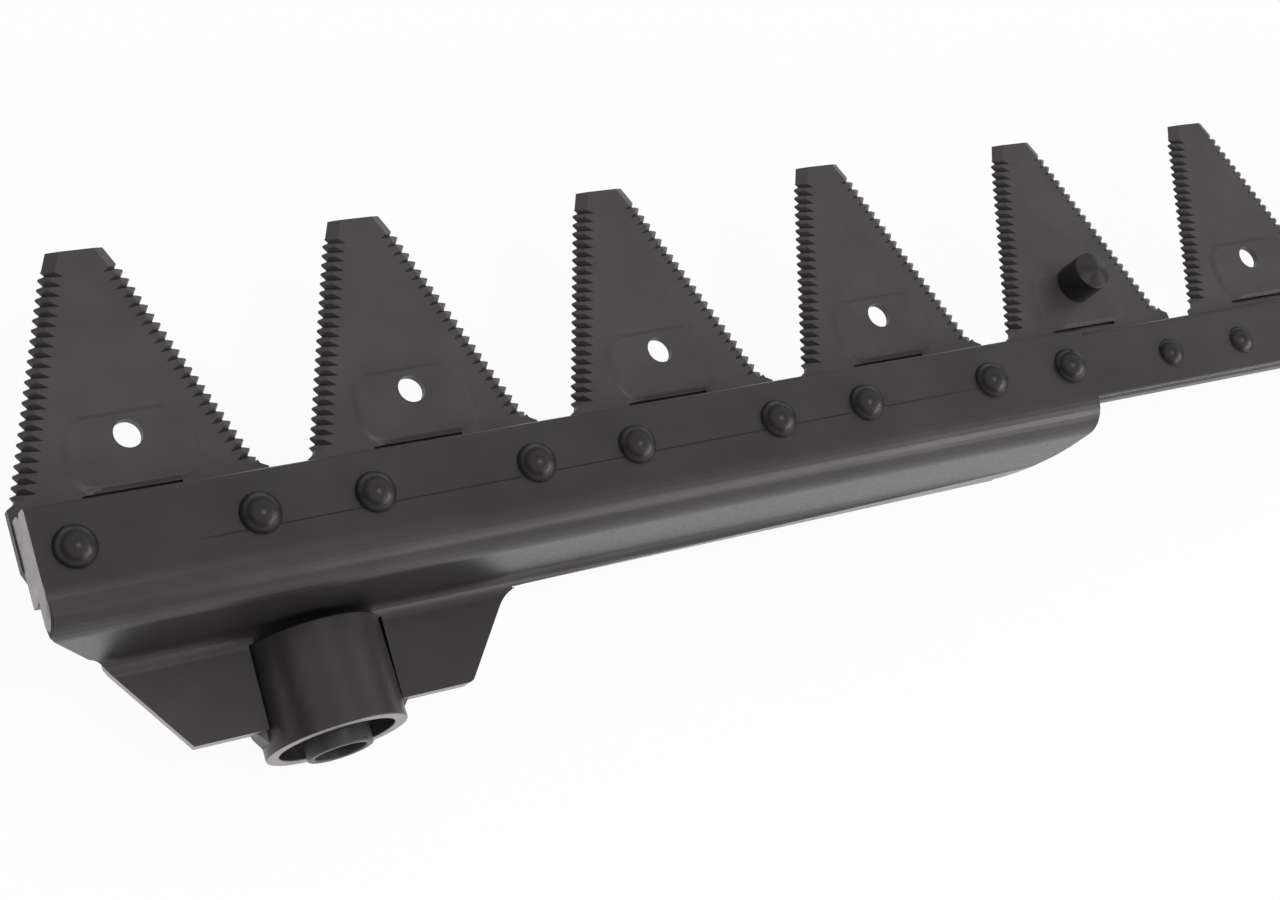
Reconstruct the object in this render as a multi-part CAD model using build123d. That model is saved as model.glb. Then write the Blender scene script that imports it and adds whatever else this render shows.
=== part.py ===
"""One knife of a walk-behind sickle bar mower: serrated sections on a flat bar with a bent drive head."""
import os
from math import cos, hypot, radians, sin, sqrt

from build123d import *

# Knife layout in mm, measured from the hole of the first section at its upper face
PITCH = 76.2
SECTIONS = 10
HEAD_RIVETS = 9
RIVET_HALF_SPACING = 22.85
RIVET_Y = -28.5

# Blade section
SEC_T = 2.2
SEC_HOLE_D = 7.4
TIP_Y = 50.7
TIP_HALF = 7.3
TIP_LEAN = 0.8
TIP_EDGE_LOW = (9.5, 45.8)
EDGE_TOP = (10.1, 45.8)
EDGE_LOW = (30.9, -10.5)
BASE_HALF = 32.8
REAR_Y = -36.0
REAR_CORNER = 7.0
EDGE_LAND = 0.35
BEVEL_W = 2.9
NECK = [(30.3, -11.6), (30.8, -12.7)]
BASE_TOP_Y = -13.8

# Serrations of its two edges
TEETH = 22
FIRST_TOOTH_Y = 43.8
GROOVE_RUN = 5.8
NOTCH_RUN = 1.45
NOTCH_LOW = 1.8
GROOVE_FLANK = 0.6

# Pressed pad round its hole
PAD_H = 0.8
PAD_W = 34.8
PAD_D = 21.0
PAD_CORNER = 7.0
PAD_WALL = 2.2
PAD_MID_Y = -3.7
SLIT = (25.0, 0.9, 1.4)
SLIT_MID = (-2.2, -14.1)

# Knife back
BAR_T = 5.0
BAR_TOP_Y = -16.9
BAR_LOW_Y = -38.9
BAR_EDGE_R = 2.0
BAR_UNDER_R = 0.6
BAR_OVERHANG = 32.4

# Knife head, one bent plate
HEAD_T = 5.0
HEAD_TOP_Y = -17.1
HEAD_EDGE_R = 1.5
HEAD_END_X = 4 * PITCH - 12.0
FLANGE_Y = -47.3
BEND_R_IN = 5.3
EAR_BEND_Z = -22.4
EAR_BEND_R = 4.6
EAR_LOW_Y = -71.8
EAR_DROOP = 4.0
EAR_FILLET = 11.0
EAR_CORNER_R = 2.5
FLANGE_CORNER_R = 17.0
FLANGE_LOW_Z = -29.0
END_SKEW = [(0.0, 7.1), (-4.4, -18.9), (-4.8, -73.0)]
DRIVEN_SLANT = [(0.0, 4.5), (16.2, -20.5), (21.1, -25.6), (22.0, -29.5), (26.4, -36.0)]
LEFT_EAR_EDGE = [(-13.2, -48.5), (5.8, -75.0)]
LEFT_EAR_CUT_Z = -20.0
LEFT_EAR_UNDERCUT = 0.32
RIGHT_EAR_EDGE = [(80.4, -75.0), (99.4, -49.7)]
LIP_END = (300.0, -47.2)
LIP_START_X = 101.0
LIP_RELIEF = [(-49.9, -26.2), (-43.9, -36.6), (-53.0, -36.6)]

# Drive tube with its rubber bush
TUBE_X = 44.2
TUBE_Z = -33.0
TUBE_OD = 36.6
TUBE_WALL = 3.3
TUBE_ID = TUBE_OD - 2 * TUBE_WALL
TUBE_TOP_Y = -50.2
TUBE_LOW_Y = -77.5
RUBBER_INSET = 4.0
SLEEVE_OD = 17.0
SLEEVE_WALL = 1.8
SLEEVE_ID = SLEEVE_OD - 2 * SLEEVE_WALL
SLEEVE_TOP_Y = -52.0
SLEEVE_LOW_Y = -80.6
BEAD = [(-2.0, 1.0), (4.0, 1.0), (3.5, -1.8), (2.0, -3.6), (-0.8, -5.0)]
BEAD_TOP_Y = -54.0
BEAD_LOW_Y = -74.5
BEAD_SLOPE = (3.6, 4.0)

# Rivets and guide pin
SHANK_D = 5.6
SINK_D = 8.2
SINK_H = 1.2
HEAD_DOME = (11.0, 4.4)
BAR_DOME = (9.2, 3.0)
PIN_D = 12.2
PIN_RIM_Z = 10.9
PIN_CONE_H = 2.2
PIN_SECTION = 4

# Cutters reach this far past what they cut
PAST = 60.0

# The shared frame starts at the mouth of the drive bore
TO_FRAME = Pos(-TUBE_X, -SLEEVE_LOW_Y, -TUBE_Z)


def outline(points):
    """Flat face from a closed row of points."""
    return make_face(Polyline(*points, close=True))


def mirrored(points):
    """Right-hand outline closed with its mirror image."""
    return points + [(-x, y) for x, y in reversed(points)]


def pad_face(height, inset):
    """Rounded outline of the pressed pad at one height."""
    face = RectangleRounded(PAD_W - 2 * inset, PAD_D - 2 * inset, PAD_CORNER - 0.7 * inset)
    return Pos(0, PAD_MID_Y, height) * face


def upright(x, y, low, high, diameter):
    """Cylinder along Z between two heights."""
    body = Cylinder(diameter / 2, high - low, align=(Align.CENTER, Align.CENTER, Align.MIN))
    return Pos(x, y, low) * body


def on_tube_axis(low, high, diameter):
    """Cylinder on the axis of the drive tube between two Y values."""
    body = Cylinder(diameter / 2, high - low, align=(Align.CENTER, Align.CENTER, Align.MIN))
    return Pos(TUBE_X, low, TUBE_Z) * Rot(-90, 0, 0) * body


def sink(x, y):
    """Countersink in the sliding face for the closing head of a rivet."""
    cone = Cone(SINK_D / 2, SHANK_D / 2, SINK_H, align=(Align.CENTER, Align.CENTER, Align.MIN))
    return Pos(x, y, -SEC_T) * cone


def rivet_places():
    """Rivet positions in order from the driven end."""
    places = []
    for i in range(SECTIONS):
        places.append((i * PITCH - RIVET_HALF_SPACING, RIVET_Y))
        places.append((i * PITCH + RIVET_HALF_SPACING, RIVET_Y))
    return places


def edge_frame(top, low):
    """Unit vectors along a right-hand cutting edge and inward from it, with its length."""
    dx = low[0] - top[0]
    dy = low[1] - top[1]
    length = hypot(dx, dy)
    return (dx / length, dy / length), (dy / length, -dx / length), length


def ground_edge(top, low, beyond_top, beyond_low):
    """Wedge that grinds the bevel of one edge down to a thin land."""
    along, inward, length = edge_frame(top, low)
    rise = SEC_T - EDGE_LAND
    start = (low[0] + along[0] * beyond_low, low[1] + along[1] * beyond_low, 0)
    plane = Plane(origin=start, x_dir=(*inward, 0), z_dir=(-along[0], -along[1], 0))
    wedge = outline([(-3.0, -rise * (1 + 3.0 / BEVEL_W)), (BEVEL_W, 0.0), (BEVEL_W, 1.5), (-3.0, 1.5)])
    return extrude(plane * wedge, length + beyond_top + beyond_low)


def vee(x, y, along, inward, slope):
    """V groove square to an edge that climbs inward and breaks the sliding face at the notch root."""
    root_z = -SEC_T - slope * 2 * NOTCH_RUN
    high = SEC_T
    half = (high - root_z) * GROOVE_FLANK
    reach = (high - root_z) / slope * sqrt(1 + slope * slope)
    start = (x - inward[0] * NOTCH_RUN, y - inward[1] * NOTCH_RUN, 0)
    mouth = Plane(origin=start, x_dir=(*along, 0), z_dir=(*inward, 0))
    face = mouth * outline([(-half, high), (half, high), (0, root_z)])
    return extrude(face, reach, dir=(*inward, slope))


def serrations():
    """Grooves of the right edge, each a steep notch that runs on as a shallow flute."""
    along, inward, length = edge_frame(EDGE_TOP, EDGE_LOW)
    first = (EDGE_TOP[1] - FIRST_TOOTH_Y) / -along[1]
    step = (length - first) / (TEETH - 1)
    grooves = []
    for k in range(TEETH):
        s = first + (k - 0.5) * step
        x = EDGE_TOP[0] + along[0] * s
        y = EDGE_TOP[1] + along[1] * s
        grooves.append(vee(x, y, along, inward, NOTCH_LOW / NOTCH_RUN))
        grooves.append(vee(x, y, along, inward, SEC_T / (GROOVE_RUN - NOTCH_RUN)))
    return grooves


def make_section():
    """Serrated trapezoid section, flat underneath, with a pressed pad round its hole."""
    right = [
        (TIP_HALF, TIP_Y),
        TIP_EDGE_LOW,
        EDGE_TOP,
        EDGE_LOW,
        *NECK,
        (BASE_HALF, BASE_TOP_Y),
        (BASE_HALF, REAR_Y + REAR_CORNER),
        (BASE_HALF - 0.29 * REAR_CORNER, REAR_Y + 0.29 * REAR_CORNER),
        (BASE_HALF - REAR_CORNER, REAR_Y),
    ]
    body = extrude(Plane.XY.offset(-SEC_T) * outline(mirrored(right)), SEC_T)

    # The pad stands up on the bar side and is hollow on the sliding face
    body += loft([pad_face(0, 0), pad_face(PAD_H, PAD_WALL)])
    body -= loft([pad_face(-SEC_T, PAD_WALL / 2), pad_face(PAD_H - SEC_T, 1.5 * PAD_WALL)])
    body -= upright(0, 0, -SEC_T - 1, PAD_H + 1, SEC_HOLE_D)
    body -= Pos(*SLIT_MID, 0) * Box(SLIT[0], SLIT[1], 2 * SLIT[2])

    # The tip leans back so that its lower edge leads
    back_y = TIP_Y - TIP_LEAN
    lean = [(TIP_Y, -SEC_T), (back_y, 0), (back_y, 1), (TIP_Y + 2, 1), (TIP_Y + 2, -SEC_T)]
    body -= extrude(Plane.YZ.offset(-PAST) * outline(lean), 2 * PAST)

    # Both edges are ground first and then serrated
    cuts = [ground_edge((TIP_HALF, TIP_Y), TIP_EDGE_LOW, 2.0, 0.3)]
    cuts.append(ground_edge(EDGE_TOP, EDGE_LOW, 0.0, 1.0))
    cuts.extend(serrations())
    both = cuts + [mirror(cut, Plane.YZ) for cut in cuts]
    body -= both

    # Rivet holes, countersunk on the sliding face
    for x in (-RIVET_HALF_SPACING, RIVET_HALF_SPACING):
        body -= upright(x, RIVET_Y, -SEC_T - 1, 1, SHANK_D)
        body -= sink(x, RIVET_Y)
    return body


def make_back():
    """Flat rolled bar with rounded edges and a hole for every rivet."""
    length = (SECTIONS - 1) * PITCH + 2 * BAR_OVERHANG
    width = BAR_TOP_Y - BAR_LOW_Y
    bar = Box(length, width, BAR_T, align=(Align.MIN, Align.MIN, Align.MIN))
    bar = Pos(-BAR_OVERHANG, BAR_LOW_Y, 0) * bar
    under = bar.edges().filter_by(Axis.X).group_by(Axis.Z)[0].sort_by(Axis.Y)[0]
    bar = fillet(under, BAR_UNDER_R)
    bar = fillet(bar.edges().filter_by(Axis.X).group_by(Axis.Z)[-1], BAR_EDGE_R)
    for x, y in rivet_places():
        bar -= upright(x, y, -1, BAR_T + 1, SHANK_D)
    return bar


def head_profile():
    """Side view of the bent plate: over the bar, down behind it and out again as drooping ears."""
    top = BAR_T + HEAD_T
    r_out = BEND_R_IN + HEAD_T
    bend_y = FLANGE_Y + r_out
    bend_z = top - r_out
    inner_y = FLANGE_Y + HEAD_T
    turn = radians(90 - EAR_DROOP)
    fall = sin(radians(EAR_DROOP)) / cos(radians(EAR_DROOP))
    k = sqrt(0.5)

    def on_bend(radius, angle):
        return FLANGE_Y - EAR_BEND_R + radius * cos(angle), EAR_BEND_Z - radius * sin(angle)

    face = on_bend(EAR_BEND_R, turn)
    back = on_bend(EAR_BEND_R + HEAD_T, turn)
    face_tip = (EAR_LOW_Y, face[1] - (face[0] - EAR_LOW_Y) * fall)
    back_tip = (EAR_LOW_Y + HEAD_T * sin(radians(EAR_DROOP)), face_tip[1] - HEAD_T * cos(radians(EAR_DROOP)))
    lines = [
        Line((HEAD_TOP_Y, top), (bend_y, top)),
        ThreePointArc((bend_y, top), (bend_y - r_out * k, bend_z + r_out * k), (FLANGE_Y, bend_z)),
        Line((FLANGE_Y, bend_z), (FLANGE_Y, EAR_BEND_Z)),
        ThreePointArc((FLANGE_Y, EAR_BEND_Z), on_bend(EAR_BEND_R, turn / 2), face),
        Line(face, face_tip),
        Line(face_tip, back_tip),
        Line(back_tip, back),
        ThreePointArc(back, on_bend(EAR_BEND_R + HEAD_T, turn / 2), (inner_y, EAR_BEND_Z)),
        Line((inner_y, EAR_BEND_Z), (inner_y, bend_z)),
        ThreePointArc((inner_y, bend_z), (bend_y - BEND_R_IN * k, bend_z + BEND_R_IN * k), (bend_y, BAR_T)),
        Line((bend_y, BAR_T), (HEAD_TOP_Y, BAR_T)),
        Line((HEAD_TOP_Y, BAR_T), (HEAD_TOP_Y, top)),
    ]
    return make_face(lines)


def make_head():
    """Knife head: the bent profile trimmed to its ears, notch, slanted end and rounded far corner."""
    length = HEAD_END_X + BAR_OVERHANG
    plate = extrude(Plane.YZ.offset(-BAR_OVERHANG) * head_profile(), length)
    near_top = plate.edges().filter_by(Axis.X).group_by(Axis.Y)[-1]
    plate = fillet(near_top, HEAD_EDGE_R)

    # Far end, a little out of square, with a large round on the flange
    skew = [(HEAD_END_X + x, HEAD_TOP_Y + y) for x, y in END_SKEW]
    far = outline(skew + [(HEAD_END_X + PAST, skew[-1][1]), (HEAD_END_X + PAST, skew[0][1])])
    plate -= extrude(Plane.XY.offset(-PAST) * far, 2 * PAST)
    corner = Pos(skew[-1][0] - FLANGE_CORNER_R, -PAST, FLANGE_LOW_Z + FLANGE_CORNER_R)
    block = Box(PAST, PAST / 2, PAST, align=(Align.MIN, Align.MIN, Align.MAX))
    round_off = Cylinder(FLANGE_CORNER_R, PAST, rotation=(90, 0, 0))
    plate -= corner * (block - round_off)

    # Right ear with its fillet, and the narrow lip that runs on along the flange
    lip = outline(RIGHT_EAR_EDGE + [LIP_END, (LIP_END[0], RIGHT_EAR_EDGE[0][1])])
    inner_vertex = lip.vertices().sort_by_distance((*RIGHT_EAR_EDGE[1], 0))[0]
    lip = fillet(inner_vertex, EAR_FILLET)
    plate -= extrude(Plane.XY.offset(-PAST) * lip, PAST - HEAD_T)
    behind = outline(LIP_RELIEF)
    plate -= extrude(Plane.YZ.offset(LIP_START_X) * behind, HEAD_END_X)

    # Rounded lower corner of the right ear
    low, high = RIGHT_EAR_EDGE
    corner_x = low[0] + (high[0] - low[0]) * (EAR_LOW_Y - low[1]) / (high[1] - low[1])
    mid_z = EAR_BEND_Z - EAR_BEND_R - HEAD_T / 2
    corner_edge = plate.edges().sort_by_distance((corner_x, EAR_LOW_Y, mid_z))[0]
    plate = fillet(corner_edge, EAR_CORNER_R)

    # Slanted driven end, first down the flange and then along the left ear
    slant = [(x - BAR_OVERHANG, z) for x, z in DRIVEN_SLANT]
    flange_cut = outline([(-PAST, slant[0][1])] + slant + [(-PAST, slant[-1][1])])
    high, low = LEFT_EAR_EDGE
    plate -= extrude(Plane.XZ.offset(PAST / 2) * flange_cut, 0.5 - high[1] - PAST / 2)
    ear_cut = outline([(-PAST, high[1]), high, low, (-PAST, low[1])])
    plate -= extrude(Plane.XY.offset(LEFT_EAR_CUT_Z) * ear_cut, PAST / 2, dir=(LEFT_EAR_UNDERCUT, 0, -1))

    # Notch for the drive tube
    notch = Box(TUBE_OD, PAST, PAST / 2, align=(Align.CENTER, Align.MAX, Align.CENTER))
    plate -= Pos(TUBE_X, TUBE_TOP_Y, TUBE_Z) * notch
    for x, y in rivet_places()[:HEAD_RIVETS]:
        plate -= upright(x, y, BAR_T - 1, BAR_T + HEAD_T + 1, SHANK_D)
    return plate


def make_welds(tube_solid, head):
    """Weld beads in the corners behind the ears, running out along the tube below them."""
    back_z = EAR_BEND_Z - EAR_BEND_R - HEAD_T
    beads = []
    for side in (-1, 1):
        x = TUBE_X + side * TUBE_OD / 2
        leg = outline([(x + side * dx, back_z + dz) for dx, dz in BEAD])
        bead = extrude(Plane.XZ.offset(-BEAD_TOP_Y) * leg, BEAD_TOP_Y - BEAD_LOW_Y)
        high = BEAD_LOW_Y + BEAD_SLOPE[1]
        run_out = outline([(x, BEAD_LOW_Y), (x + side * BEAD_SLOPE[0], high), (x + side * PAST, high),
                           (x + side * PAST, BEAD_LOW_Y - PAST), (x, BEAD_LOW_Y - PAST)])
        bead -= extrude(Plane.XY.offset(-PAST) * run_out, PAST)
        beads.append(bead - tube_solid - head)
    return beads


def make_rivet(x, y, seat, dome):
    """Domed rivet with its shank and its flush closing head."""
    base = dome[0] / 2
    height = dome[1]
    ball = (base * base + height * height) / (2 * height)
    cap = Pos(x, y, seat + height - ball) * Sphere(ball)
    keep = Pos(x, y, seat) * Box(40, 40, 40, align=(Align.CENTER, Align.CENTER, Align.MIN))
    return (cap & keep) + upright(x, y, -SEC_T, seat, SHANK_D) + sink(x, y)


def make_pin():
    """Turned guide pin with a shallow cone on its end, riveted in the hole of one section."""
    x = PIN_SECTION * PITCH
    pin = upright(x, 0, PAD_H, PIN_RIM_Z, PIN_D)
    cone = Cone(PIN_D / 2, 0.5, PIN_CONE_H, align=(Align.CENTER, Align.CENTER, Align.MIN))
    pin += Pos(x, 0, PIN_RIM_Z) * cone
    pin += upright(x, 0, PAD_H - SEC_T, PAD_H, SEC_HOLE_D)
    return pin


# Assemble the nodes and write one file for each
section = make_section()
head = make_head()
tube_solid = on_tube_axis(TUBE_LOW_Y, TUBE_TOP_Y, TUBE_OD)
tube = tube_solid - on_tube_axis(TUBE_LOW_Y - 1, TUBE_TOP_Y + 1, TUBE_ID)
rubber = on_tube_axis(TUBE_LOW_Y + RUBBER_INSET, TUBE_TOP_Y - RUBBER_INSET, TUBE_ID)
rubber -= on_tube_axis(TUBE_LOW_Y, TUBE_TOP_Y, SLEEVE_OD)
sleeve = on_tube_axis(SLEEVE_LOW_Y, SLEEVE_TOP_Y, SLEEVE_OD)
sleeve -= on_tube_axis(SLEEVE_LOW_Y - 1, SLEEVE_TOP_Y + 1, SLEEVE_ID)
places = rivet_places()
head_seat = BAR_T + HEAD_T

nodes = {
    "knife_back": [make_back()],
    "knife_head": [head],
    "drive_tube": [tube],
    "weld_beads": make_welds(tube_solid, head),
    "bush_rubber": [rubber],
    "bush_sleeve": [sleeve],
    "guide_pin": [make_pin()],
    "head_rivets": [make_rivet(x, y, head_seat, HEAD_DOME) for x, y in places[:HEAD_RIVETS]],
    "bar_rivets": [make_rivet(x, y, BAR_T, BAR_DOME) for x, y in places[HEAD_RIVETS:]],
}
for i in range(SECTIONS):
    nodes[f"section_{i + 1:02d}"] = [Pos(i * PITCH, 0, 0) * section]

os.makedirs("parts", exist_ok=True)
for name, bodies in nodes.items():
    solids = [TO_FRAME * solid for body in bodies for solid in body.solids()]
    shape = solids[0] if len(solids) == 1 else Compound(children=solids)
    shape.label = name
    export_step(shape, f"parts/{name}.step")
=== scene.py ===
# %% [markdown]
# # Sickle bar mower knife
# A walk-behind sickle mower cuts with a long knife that slides to and fro. Trapezoid blades, the
# sections, are riveted side by side to a flat bar, and a bent plate at one end, the knife head, holds
# the tube that the drive pin enters. The CAD frame already has every piece at its true size, so this
# lesson gives the pieces their edges, their finishes and their light.

# %% Load the frame
from math import radians

import bmesh
import bpy
from mathutils import Matrix, Vector


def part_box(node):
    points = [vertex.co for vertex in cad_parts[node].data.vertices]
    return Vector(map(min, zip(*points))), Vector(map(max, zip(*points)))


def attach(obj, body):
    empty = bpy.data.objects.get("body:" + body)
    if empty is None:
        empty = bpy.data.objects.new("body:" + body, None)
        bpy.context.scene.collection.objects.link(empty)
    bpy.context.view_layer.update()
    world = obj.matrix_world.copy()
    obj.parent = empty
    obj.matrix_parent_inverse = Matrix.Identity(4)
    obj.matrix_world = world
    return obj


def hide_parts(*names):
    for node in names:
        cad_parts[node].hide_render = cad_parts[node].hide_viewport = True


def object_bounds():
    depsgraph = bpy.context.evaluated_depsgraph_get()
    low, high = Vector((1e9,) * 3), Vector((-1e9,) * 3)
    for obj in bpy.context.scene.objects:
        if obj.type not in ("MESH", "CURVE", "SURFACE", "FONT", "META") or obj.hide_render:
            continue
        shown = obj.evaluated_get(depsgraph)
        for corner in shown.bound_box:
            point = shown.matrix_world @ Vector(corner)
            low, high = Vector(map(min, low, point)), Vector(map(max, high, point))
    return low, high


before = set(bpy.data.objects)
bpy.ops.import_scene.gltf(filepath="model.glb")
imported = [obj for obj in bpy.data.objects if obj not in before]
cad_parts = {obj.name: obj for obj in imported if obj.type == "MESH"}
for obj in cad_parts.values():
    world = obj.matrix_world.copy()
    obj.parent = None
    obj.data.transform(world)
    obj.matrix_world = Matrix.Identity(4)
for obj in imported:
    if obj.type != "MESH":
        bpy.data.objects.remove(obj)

MM = 0.001
cad_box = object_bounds()
print("nodes:", len(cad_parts), "box:", [round(v, 4) for corner in cad_box for v in corner])

# %% [markdown]
# ## From solids to pieces
# A CAD node arrives as loose triangles with knife-sharp edges, and nothing real has those. Moulding
# each piece again would lose the exact sizes. So each node is copied, its triangles are merged and its
# flat faces joined again, and a Bevel modifier rounds every sharp edge by a few hundredths or tenths
# of a millimetre. That thin round is what catches the light along the rim of a real part.

# %% A helper that turns a node into a finished piece
FLAT = radians(0.6)
SHARP = radians(24)


def merged_copy(node_name):
    """Closed bmesh of a node with its flat faces joined."""
    work = bmesh.new()
    work.from_mesh(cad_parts[node_name].data)
    bmesh.ops.remove_doubles(work, verts=work.verts, dist=0.002 * MM)
    bmesh.ops.dissolve_limit(work, angle_limit=FLAT, verts=work.verts, edges=work.edges)
    return work


def round_edges(piece, name, width, limit):
    """Bevel modifier on the sharp edges, or on the ones that carry a bevel weight."""
    bevel = piece.modifiers.new(name, "BEVEL")
    bevel.width = width
    bevel.segments = 2
    bevel.limit_method = limit
    bevel.angle_limit = SHARP
    return bevel


def finish_piece(work, piece_name, node_name, materials, edge_round, soft_round=0):
    """Mesh object from a bmesh, with rounded edges, riding on the frame in place of its node."""
    mesh = bpy.data.meshes.new(piece_name)
    for face in work.faces:
        face.smooth = True
    work.to_mesh(mesh)
    work.free()
    for material in materials:
        mesh.materials.append(material)
    mesh.set_sharp_from_angle(angle=SHARP)
    piece = bpy.data.objects.new(piece_name, mesh)
    bpy.context.scene.collection.objects.link(piece)
    if soft_round:
        soft = round_edges(piece, "soft_round", soft_round, "WEIGHT")
        soft.segments = 3
        soft.use_clamp_overlap = False
    round_edges(piece, "edge_round", edge_round, "ANGLE")
    even = piece.modifiers.new("even_shading", "WEIGHTED_NORMAL")
    even.keep_sharp = True
    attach(piece, "root")
    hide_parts(node_name)
    print(piece_name, "faces:", len(mesh.polygons))
    return piece


# %% [markdown]
# ## Dark coated steel
# The bar, the bent plate and the tube are steel with a thin black coat that is more satin than gloss. Its
# own colour is nearly black, and most of its grey is the room, mirrored and blurred. So the material is a
# dark base under a slightly warm mirror. A slow cloud changes tone and mirror a little, and a fine grain
# changes the gloss.

# %% Node helpers and the coated steel
def start_material(name):
    """Empty node tree with a Principled shader and the place of each point on the piece."""
    material = bpy.data.materials.new(name)
    material.use_nodes = True
    tree = material.node_tree
    tree.nodes.clear()
    output = tree.nodes.new("ShaderNodeOutputMaterial")
    shader = tree.nodes.new("ShaderNodeBsdfPrincipled")
    tree.links.new(shader.outputs["BSDF"], output.inputs["Surface"])
    place = tree.nodes.new("ShaderNodeTexCoord").outputs["Object"]
    return material, tree, shader, place


def noise(tree, place, scale, detail, roughness=0.55):
    """Noise value with that many features per metre."""
    node = tree.nodes.new("ShaderNodeTexNoise")
    node.inputs["Scale"].default_value = scale
    node.inputs["Detail"].default_value = detail
    node.inputs["Roughness"].default_value = roughness
    tree.links.new(place, node.inputs["Vector"])
    return node.outputs["Fac"]


def spread(tree, value, low, high, from_low=0.3, from_high=0.7):
    """Value moved from its own range to a new one."""
    node = tree.nodes.new("ShaderNodeMapRange")
    node.inputs["From Min"].default_value = from_low
    node.inputs["From Max"].default_value = from_high
    node.inputs["To Min"].default_value = low
    node.inputs["To Max"].default_value = high
    tree.links.new(value, node.inputs["Value"])
    return node.outputs["Result"]


def two_tones(tree, factor, dark, light):
    """Colour between two tones."""
    node = tree.nodes.new("ShaderNodeMix")
    node.data_type = "RGBA"
    tree.links.new(factor, node.inputs["Factor"])
    node.inputs["A"].default_value = (*dark, 1)
    node.inputs["B"].default_value = (*light, 1)
    return node.outputs["Result"]


def grain(tree, shader, height, strength, depth):
    """Fine bump on the shader."""
    node = tree.nodes.new("ShaderNodeBump")
    node.inputs["Strength"].default_value = strength
    node.inputs["Distance"].default_value = depth
    tree.links.new(height, node.inputs["Height"])
    tree.links.new(node.outputs["Normal"], shader.inputs["Normal"])


WARM = (1.0, 0.93, 0.945, 1)


def steel(name, tone, change, rough, metal=0.0, mirror=0.5, cloud_scale=38, grain_scale=1400):
    """Steel with a blurred mirror, a cloudy tone and a fine grain."""
    material, tree, shader, place = start_material(name)
    cloud = noise(tree, place, cloud_scale, 5)
    dark = [t * (1 - change) for t in tone]
    light = [t * (1 + change) for t in tone]
    tree.links.new(two_tones(tree, spread(tree, cloud, 0, 1), dark, light), shader.inputs["Base Color"])
    shader.inputs["Metallic"].default_value = metal
    sheen = spread(tree, cloud, mirror * (1 - change), mirror * (1 + change))
    tree.links.new(sheen, shader.inputs["Specular IOR Level"])
    shader.inputs["Specular Tint"].default_value = WARM
    speck = noise(tree, place, grain_scale, 3)
    tree.links.new(spread(tree, speck, rough - 0.05, rough + 0.05), shader.inputs["Roughness"])
    grain(tree, shader, speck, 0.06, 0.02 * MM)
    return material


COAT_ROUGH = 0.35
COAT = (0.0240, 0.0216, 0.0220)
coated_steel = steel("coated_steel", COAT, 0.10, COAT_ROUGH)
print("made", coated_steel.name)

# %% [markdown]
# ## A fine dark line
# Along the top of the head runs a fine darker line. The distance of each point from a straight line is
# squeezed into a narrow stripe, which darkens both the colour and the mirror. It starts beside the second
# rivet and fades out before the far end.

# %% The coat of the head with its line
def calculate(tree, operation, *values):
    """Math node on sockets and numbers."""
    node = tree.nodes.new("ShaderNodeMath")
    node.operation = operation
    for slot, value in zip(node.inputs, values):
        if isinstance(value, (int, float)):
            slot.default_value = value
        else:
            tree.links.new(value, slot)
    return node.outputs["Value"]


LINE_Y, LINE_SLOPE = 48.73 * MM, 0.0083
LINE_EDGE = (0.10 * MM, 0.35 * MM)
LINE_START = (-38 * MM, -24 * MM)
LINE_END = (120 * MM, 215 * MM)
head_steel = steel("head_steel", COAT, 0.10, COAT_ROUGH)
tree = head_steel.node_tree
shader = tree.nodes["Principled BSDF"]
axes = tree.nodes.new("ShaderNodeSeparateXYZ")
tree.links.new(tree.nodes["Texture Coordinate"].outputs["Object"], axes.inputs["Vector"])
line_y = calculate(tree, "MULTIPLY_ADD", axes.outputs["X"], LINE_SLOPE, LINE_Y)
away = calculate(tree, "ABSOLUTE", calculate(tree, "SUBTRACT", axes.outputs["Y"], line_y))
stripe = spread(tree, away, 0.55, 1.0, *LINE_EDGE)
faded = spread(tree, axes.outputs["X"], 0.0, 1.0, *LINE_END)
started = spread(tree, axes.outputs["X"], 1.0, 0.0, *LINE_START)
shade = calculate(tree, "MAXIMUM", stripe, calculate(tree, "MAXIMUM", started, faded))
darker = tree.nodes.new("ShaderNodeMix")
darker.data_type = "RGBA"
darker.blend_type = "MULTIPLY"
darker.inputs["Factor"].default_value = 1.0
plain = shader.inputs["Base Color"].links[0].from_socket
tree.links.new(plain, darker.inputs["A"])
tree.links.new(shade, darker.inputs["B"])
tree.links.new(darker.outputs["Result"], shader.inputs["Base Color"])
sheen = shader.inputs["Specular IOR Level"].links[0].from_socket
tree.links.new(calculate(tree, "MULTIPLY", shade, sheen), shader.inputs["Specular IOR Level"])
print("made", head_steel.name)

# %% [markdown]
# ## Section steel and bare steel
# The sections are hardened spring steel with a dark oxide skin, a little lighter and duller than the coat,
# with finer clouds. The rivets are darker. Cut ends, the tube's rim and the welds show lighter metal.

# %% Oxide skin and bare steel
section_steel = steel("section_steel", (0.043, 0.0385, 0.0395), 0.10, 0.42, mirror=0.55, cloud_scale=70)
rivet_steel = steel("rivet_steel", (0.014, 0.0127, 0.0130), 0.08, 0.34, mirror=0.42)
# The light bare steel is the real cut ends and worn rim, and a painted reflection on the ears' lower edges.
bare_steel_and_painted_reflection = steel("bare_steel_and_painted_reflection", (0.36, 0.345, 0.345), 0.12, 0.48, metal=1.0, cloud_scale=260)
weld_steel = steel("weld_steel", (0.16, 0.155, 0.15), 0.30, 0.45, metal=0.6, cloud_scale=420)
sleeve_steel = steel("sleeve_steel", (0.07, 0.068, 0.068), 0.10, 0.42, metal=0.4, cloud_scale=200)
print("made", [m.name for m in (section_steel, rivet_steel, bare_steel_and_painted_reflection, weld_steel, sleeve_steel)])

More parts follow.
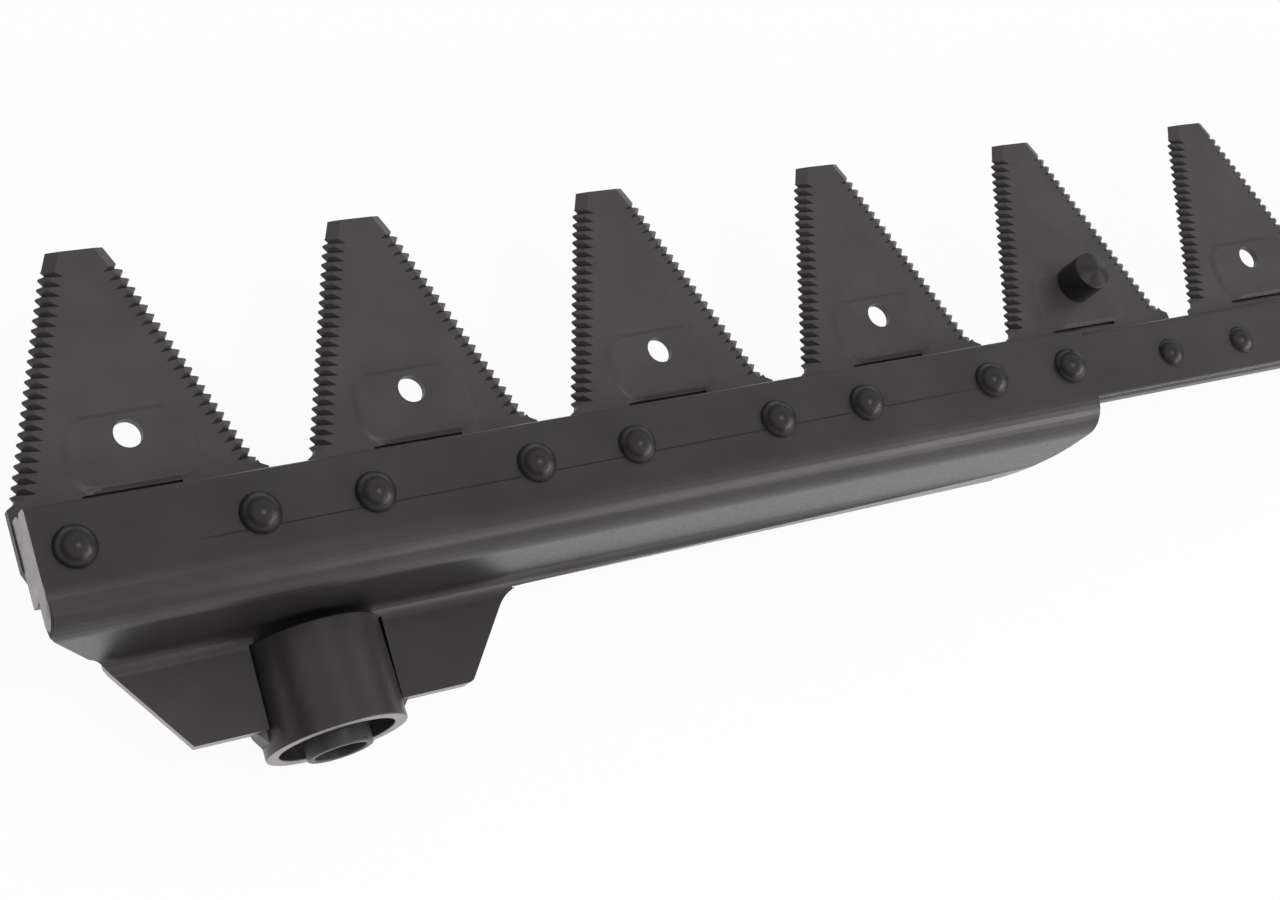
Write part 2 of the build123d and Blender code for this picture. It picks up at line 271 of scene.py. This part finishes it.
# %% [markdown]
# ## Rubber
# The ring between tube and sleeve is bonded rubber. Rubber is no metal: nearly black, dull and finely
# pitted, so only a broad sheen shows its shape.

# %% Bush rubber
bush_rubber, tree, shader, place = start_material("bush_rubber_black")
pits = noise(tree, place, 900, 4)
tree.links.new(two_tones(tree, spread(tree, pits, 0, 1), (0.008, 0.008, 0.008), (0.02, 0.02, 0.019)),
               shader.inputs["Base Color"])
shader.inputs["Roughness"].default_value = 0.62
grain(tree, shader, pits, 0.3, 0.05 * MM)
print("made", bush_rubber.name)

# %% [markdown]
# ## Bar and knife head
# Both were sheared to length, so the cut end at the driven side is bare and light. The lower,
# front-facing edges of the ears take the same light steel as a painted reflection of the white floor.
# Those faces are picked by their normal and place. Shearing also rolled the edge at the end of the bend.
# There the edges carry a bevel weight that grows down the bend, so that their round starts from nothing.

# %% Dress the bar and the head
BARE_AND_REFLECTION = 1
END_REACH = 0.5 * MM
EAR_TOP = 8 * MM


def bare_and_reflection_where(work, test):
    """Faces that pass the test take the second material."""
    count = 0
    for face in work.faces:
        if test(face.normal, face.calc_center_median()):
            face.material_index = BARE_AND_REFLECTION
            count += 1
    return count


bar_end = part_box("knife_back")[0].x
bar = merged_copy("knife_back")
bare = bare_and_reflection_where(bar, lambda n, c: n.x < -0.9 and c.x < bar_end + END_REACH)
print("bare bar faces:", bare)
finish_piece(bar, "knife_back_dressed", "knife_back", [coated_steel, bare_steel_and_painted_reflection], 0.25 * MM)

head = merged_copy("knife_head")
bare = bare_and_reflection_where(head, lambda n, c: n.x < -0.9 and c.x < bar_end + END_REACH)
# Painted reflection: the lower front edges of the ears take the light steel in place of the floor's
# reflection.
ears_painted_reflection = bare_and_reflection_where(head, lambda n, c: n.y < -0.25 and abs(n.z) < 0.5 and c.z < EAR_TOP)
print("bare head faces:", bare, "ear faces:", ears_painted_reflection)

# %% [markdown]
# The rolled edge is the rim of the end face on the outside of the bend.

# %% Roll the end edge of the head
BEND_START = 43.6 * MM
BEND_RUN = 8 * MM
weight = head.edges.layers.float.new("bevel_weight_edge")
for edge in head.edges:
    middle = (edge.verts[0].co + edge.verts[1].co) / 2
    at_end = max(vert.co.x for vert in edge.verts) < bar_end + 0.1 * MM
    outside = any(face.normal.y < -0.05 and abs(face.normal.x) < 0.2 for face in edge.link_faces)
    if at_end and outside:
        edge[weight] = min(1.0, max(0.0, (BEND_START - middle.y) / BEND_RUN))
finish_piece(head, "knife_head_dressed", "knife_head", [head_steel, bare_steel_and_painted_reflection],
             0.45 * MM, soft_round=1.6 * MM)

# %% [markdown]
# ## Sections
# Each section is a copy of the same node, so one loop dresses them all. The teeth are small, so the round
# on their edges stays far finer than on the plate. The pad round the hole is pressed up from the sheet:
# the CAD gives it straight walls, and cutting them into strips bends them into the soft S of pressed metal.

# %% Dress the sections
PAD_STEPS = 3


def soften_pad(work):
    """Straight walls of the raised pad become a soft S-curve."""
    walls = {f for f in work.faces if 0.88 < f.normal.z < 0.985}
    rising = [e for e in work.edges if walls.issuperset(e.link_faces)
              and abs(e.verts[0].co.z - e.verts[1].co.z) > 0.5 * MM]
    heights = [vert.co.z for edge in rising for vert in edge.verts]
    low, high = min(heights), max(heights)
    cut = bmesh.ops.subdivide_edges(work, edges=rising, cuts=PAD_STEPS, use_grid_fill=True)
    for vert in {v for v in cut["geom_inner"] if isinstance(v, bmesh.types.BMVert)}:
        part = (vert.co.z - low) / (high - low)
        vert.co.z = low + (high - low) * part * part * (3 - 2 * part)
    return len(rising)


section_names = sorted(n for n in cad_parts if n.startswith("section_"))
for name in section_names:
    section = merged_copy(name)
    print("pad walls:", soften_pad(section))
    finish_piece(section, name + "_dressed", name, [section_steel], 0.08 * MM)

# %% [markdown]
# ## Rivets and guide pin
# The rivet domes are smooth and darker than the plate. The pin is turned, with a shallow cone on its end.

# %% Dress the rivets and the pin
def dress_plain(node_name, material, edge_round):
    """Piece in one material."""
    finish_piece(merged_copy(node_name), node_name + "_dressed", node_name, [material], edge_round)


dress_plain("head_rivets", rivet_steel, 0.12 * MM)
dress_plain("bar_rivets", rivet_steel, 0.12 * MM)
dress_plain("guide_pin", rivet_steel, 0.2 * MM)

# %% [markdown]
# ## Drive tube and bush
# The tube is coated like the plate, but its rim is worn bare by the drive arm beside it. The sleeve end
# is plain turned steel.

# %% Dress the tube, the bush and the welds
tube_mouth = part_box("drive_tube")[0].y
tube = merged_copy("drive_tube")
bare = bare_and_reflection_where(tube, lambda n, c: n.y < -0.9 and c.y < tube_mouth + END_REACH)
print("bare rim faces:", bare)
finish_piece(tube, "drive_tube_dressed", "drive_tube", [coated_steel, bare_steel_and_painted_reflection], 0.35 * MM)
dress_plain("bush_rubber", bush_rubber, 0.5 * MM)
dress_plain("bush_sleeve", sleeve_steel, 0.3 * MM)
dress_plain("weld_beads", weld_steel, 0.8 * MM)

# %% [markdown]
# ## Floor
# The knife lies over a plain white floor. It shows its own white to the camera and to reflections, and a
# small share of its surface is left to take the light, so that it keeps a soft shadow.

# %% Floor
FLOOR_SIZE = 4.0
SHOWN_SHARE = 0.95
FLOOR_Z = cad_box[0].z - 0.2 * MM
floor_mesh = bpy.data.meshes.new("floor")
sheet = bmesh.new()
bmesh.ops.create_grid(sheet, x_segments=1, y_segments=1, size=FLOOR_SIZE)
bmesh.ops.translate(sheet, verts=sheet.verts, vec=(0.2, 0.0, FLOOR_Z))
sheet.to_mesh(floor_mesh)
sheet.free()
floor = bpy.data.objects.new("floor", floor_mesh)
bpy.context.scene.collection.objects.link(floor)

floor_white, tree, shader, place = start_material("floor_white")
shader.inputs["Base Color"].default_value = (0.92, 0.92, 0.92, 1)
shader.inputs["Roughness"].default_value = 0.9
shader.inputs["Specular IOR Level"].default_value = 0.0
shown = tree.nodes.new("ShaderNodeEmission")
shown.inputs["Color"].default_value = (1, 1, 1, 1)
path = tree.nodes.new("ShaderNodeLightPath")
seen = calculate(tree, "MAXIMUM", path.outputs["Is Camera Ray"], path.outputs["Is Glossy Ray"])
seen = calculate(tree, "MAXIMUM", seen, path.outputs["Is Transmission Ray"])
share = calculate(tree, "MULTIPLY", seen, SHOWN_SHARE)
blend = tree.nodes.new("ShaderNodeMixShader")
tree.links.new(share, blend.inputs["Fac"])
tree.links.new(shader.outputs["BSDF"], blend.inputs[1])
tree.links.new(shown.outputs["Emission"], blend.inputs[2])
tree.links.new(blend.outputs["Shader"], tree.nodes["Material Output"].inputs["Surface"])
floor_mesh.materials.append(floor_white)
print("floor at", round(FLOOR_Z, 4))

# %% [markdown]
# ## Room
# A dark satin part shows its room, so the room matters more than the lamps. The horizon is white like the
# floor, a dark band stands above it, and a pale ceiling closes the room. The flat faces mirror the ceiling
# and look grey, and what leans away mirrors the dark band and falls off to black.

# %% World
world = bpy.data.worlds.new("studio")
bpy.context.scene.world = world
world.use_nodes = True
tree = world.node_tree
background = tree.nodes["Background"]
direction = tree.nodes.new("ShaderNodeTexCoord").outputs["Generated"]


def levels(tree, direction, toward, stops):
    """Grey level that follows how far a direction points one way."""
    lean = tree.nodes.new("ShaderNodeVectorMath")
    lean.operation = "DOT_PRODUCT"
    lean.inputs[1].default_value = Vector(toward).normalized()
    tree.links.new(direction, lean.inputs[0])
    ramp = tree.nodes.new("ShaderNodeValToRGB")
    steps = ramp.color_ramp.elements
    steps[0].position, steps[1].position = stops[0][0], stops[-1][0]
    for position, level in stops[1:-1]:
        steps.new(position)
    for step, (position, level) in zip(steps, stops):
        step.color = (level, level, level, 1)
    tree.links.new(lean.outputs["Value"], ramp.inputs["Fac"])
    return ramp.outputs["Color"]


WHITE_BAND = [(0.0, 1.0), (0.10, 1.0), (0.17, 0.04), (1.0, 0.04)]
PALE_TOP = [(0.0, 0.0), (0.37, 0.04), (0.52, 0.85), (0.66, 1.0), (0.80, 0.90), (0.87, 0.72), (1.0, 0.50)]
horizon = levels(tree, direction, (0, 0, 1), WHITE_BAND)
ceiling = levels(tree, direction, (0.1, 0, 1), PALE_TOP)
tree.links.new(calculate(tree, "MAXIMUM", horizon, ceiling), background.inputs["Color"])
background.inputs["Strength"].default_value = 1.0
print("room levels:", len(WHITE_BAND), len(PALE_TOP))

# %% [markdown]
# ## Lamps
# Three small lamps draw what the room can't. One overhead puts a highlight on each dome, one at the right
# a second, and a long strip in front draws the light line where the plate starts to bend.

# %% Lamps
AIM = Vector((0.10, 0.06, 0.03))


def soft_lamp(name, toward, distance, width, height, power):
    """Rectangular area lamp that faces the knife."""
    lamp = bpy.data.lights.new(name, "AREA")
    lamp.shape = "RECTANGLE"
    lamp.size = width
    lamp.size_y = height
    lamp.energy = power
    holder = bpy.data.objects.new(name, lamp)
    out = Vector(toward).normalized()
    holder.location = AIM + out * distance
    holder.rotation_mode = "QUATERNION"
    holder.rotation_quaternion = out.to_track_quat("Z", "Y")
    bpy.context.scene.collection.objects.link(holder)
    return holder


soft_lamp("top", (0.0, -0.15, 1.0), 1.6, 0.20, 0.20, 3.6)
soft_lamp("front_strip", (0.66, -0.68, 0.34), 1.5, 1.1, 0.25, 7)
soft_lamp("right", (0.85, -0.32, 0.42), 1.8, 0.20, 0.20, 2.2)

# %% [markdown]
# ## Camera
# The camera looks down on the driven end from its left, turned so that the knife runs off to the upper
# right. The photograph is cut from a wider view, so the lens is shifted a little.

# %% Camera
lens = bpy.data.cameras.new("photo_camera")
lens.sensor_width = 36
lens.lens = 70.44
lens.shift_x = -0.0829
lens.shift_y = -0.1693
lens.clip_start = 0.01
camera = bpy.data.objects.new("photo_camera", lens)
right = Vector((0.820549, -0.330426, 0.466387))
up = Vector((0.106018, 0.889794, 0.443877))
back = Vector((-0.561657, -0.314777, 0.765151))
turn = Matrix((right, up, back)).transposed().to_4x4()
camera.matrix_world = Matrix.Translation((-0.255671, -0.115518, 0.585794)) @ turn
bpy.context.scene.collection.objects.link(camera)
bpy.context.scene.camera = camera
bpy.context.scene.view_settings.view_transform = "Standard"
print("camera at", [round(v, 3) for v in camera.location])
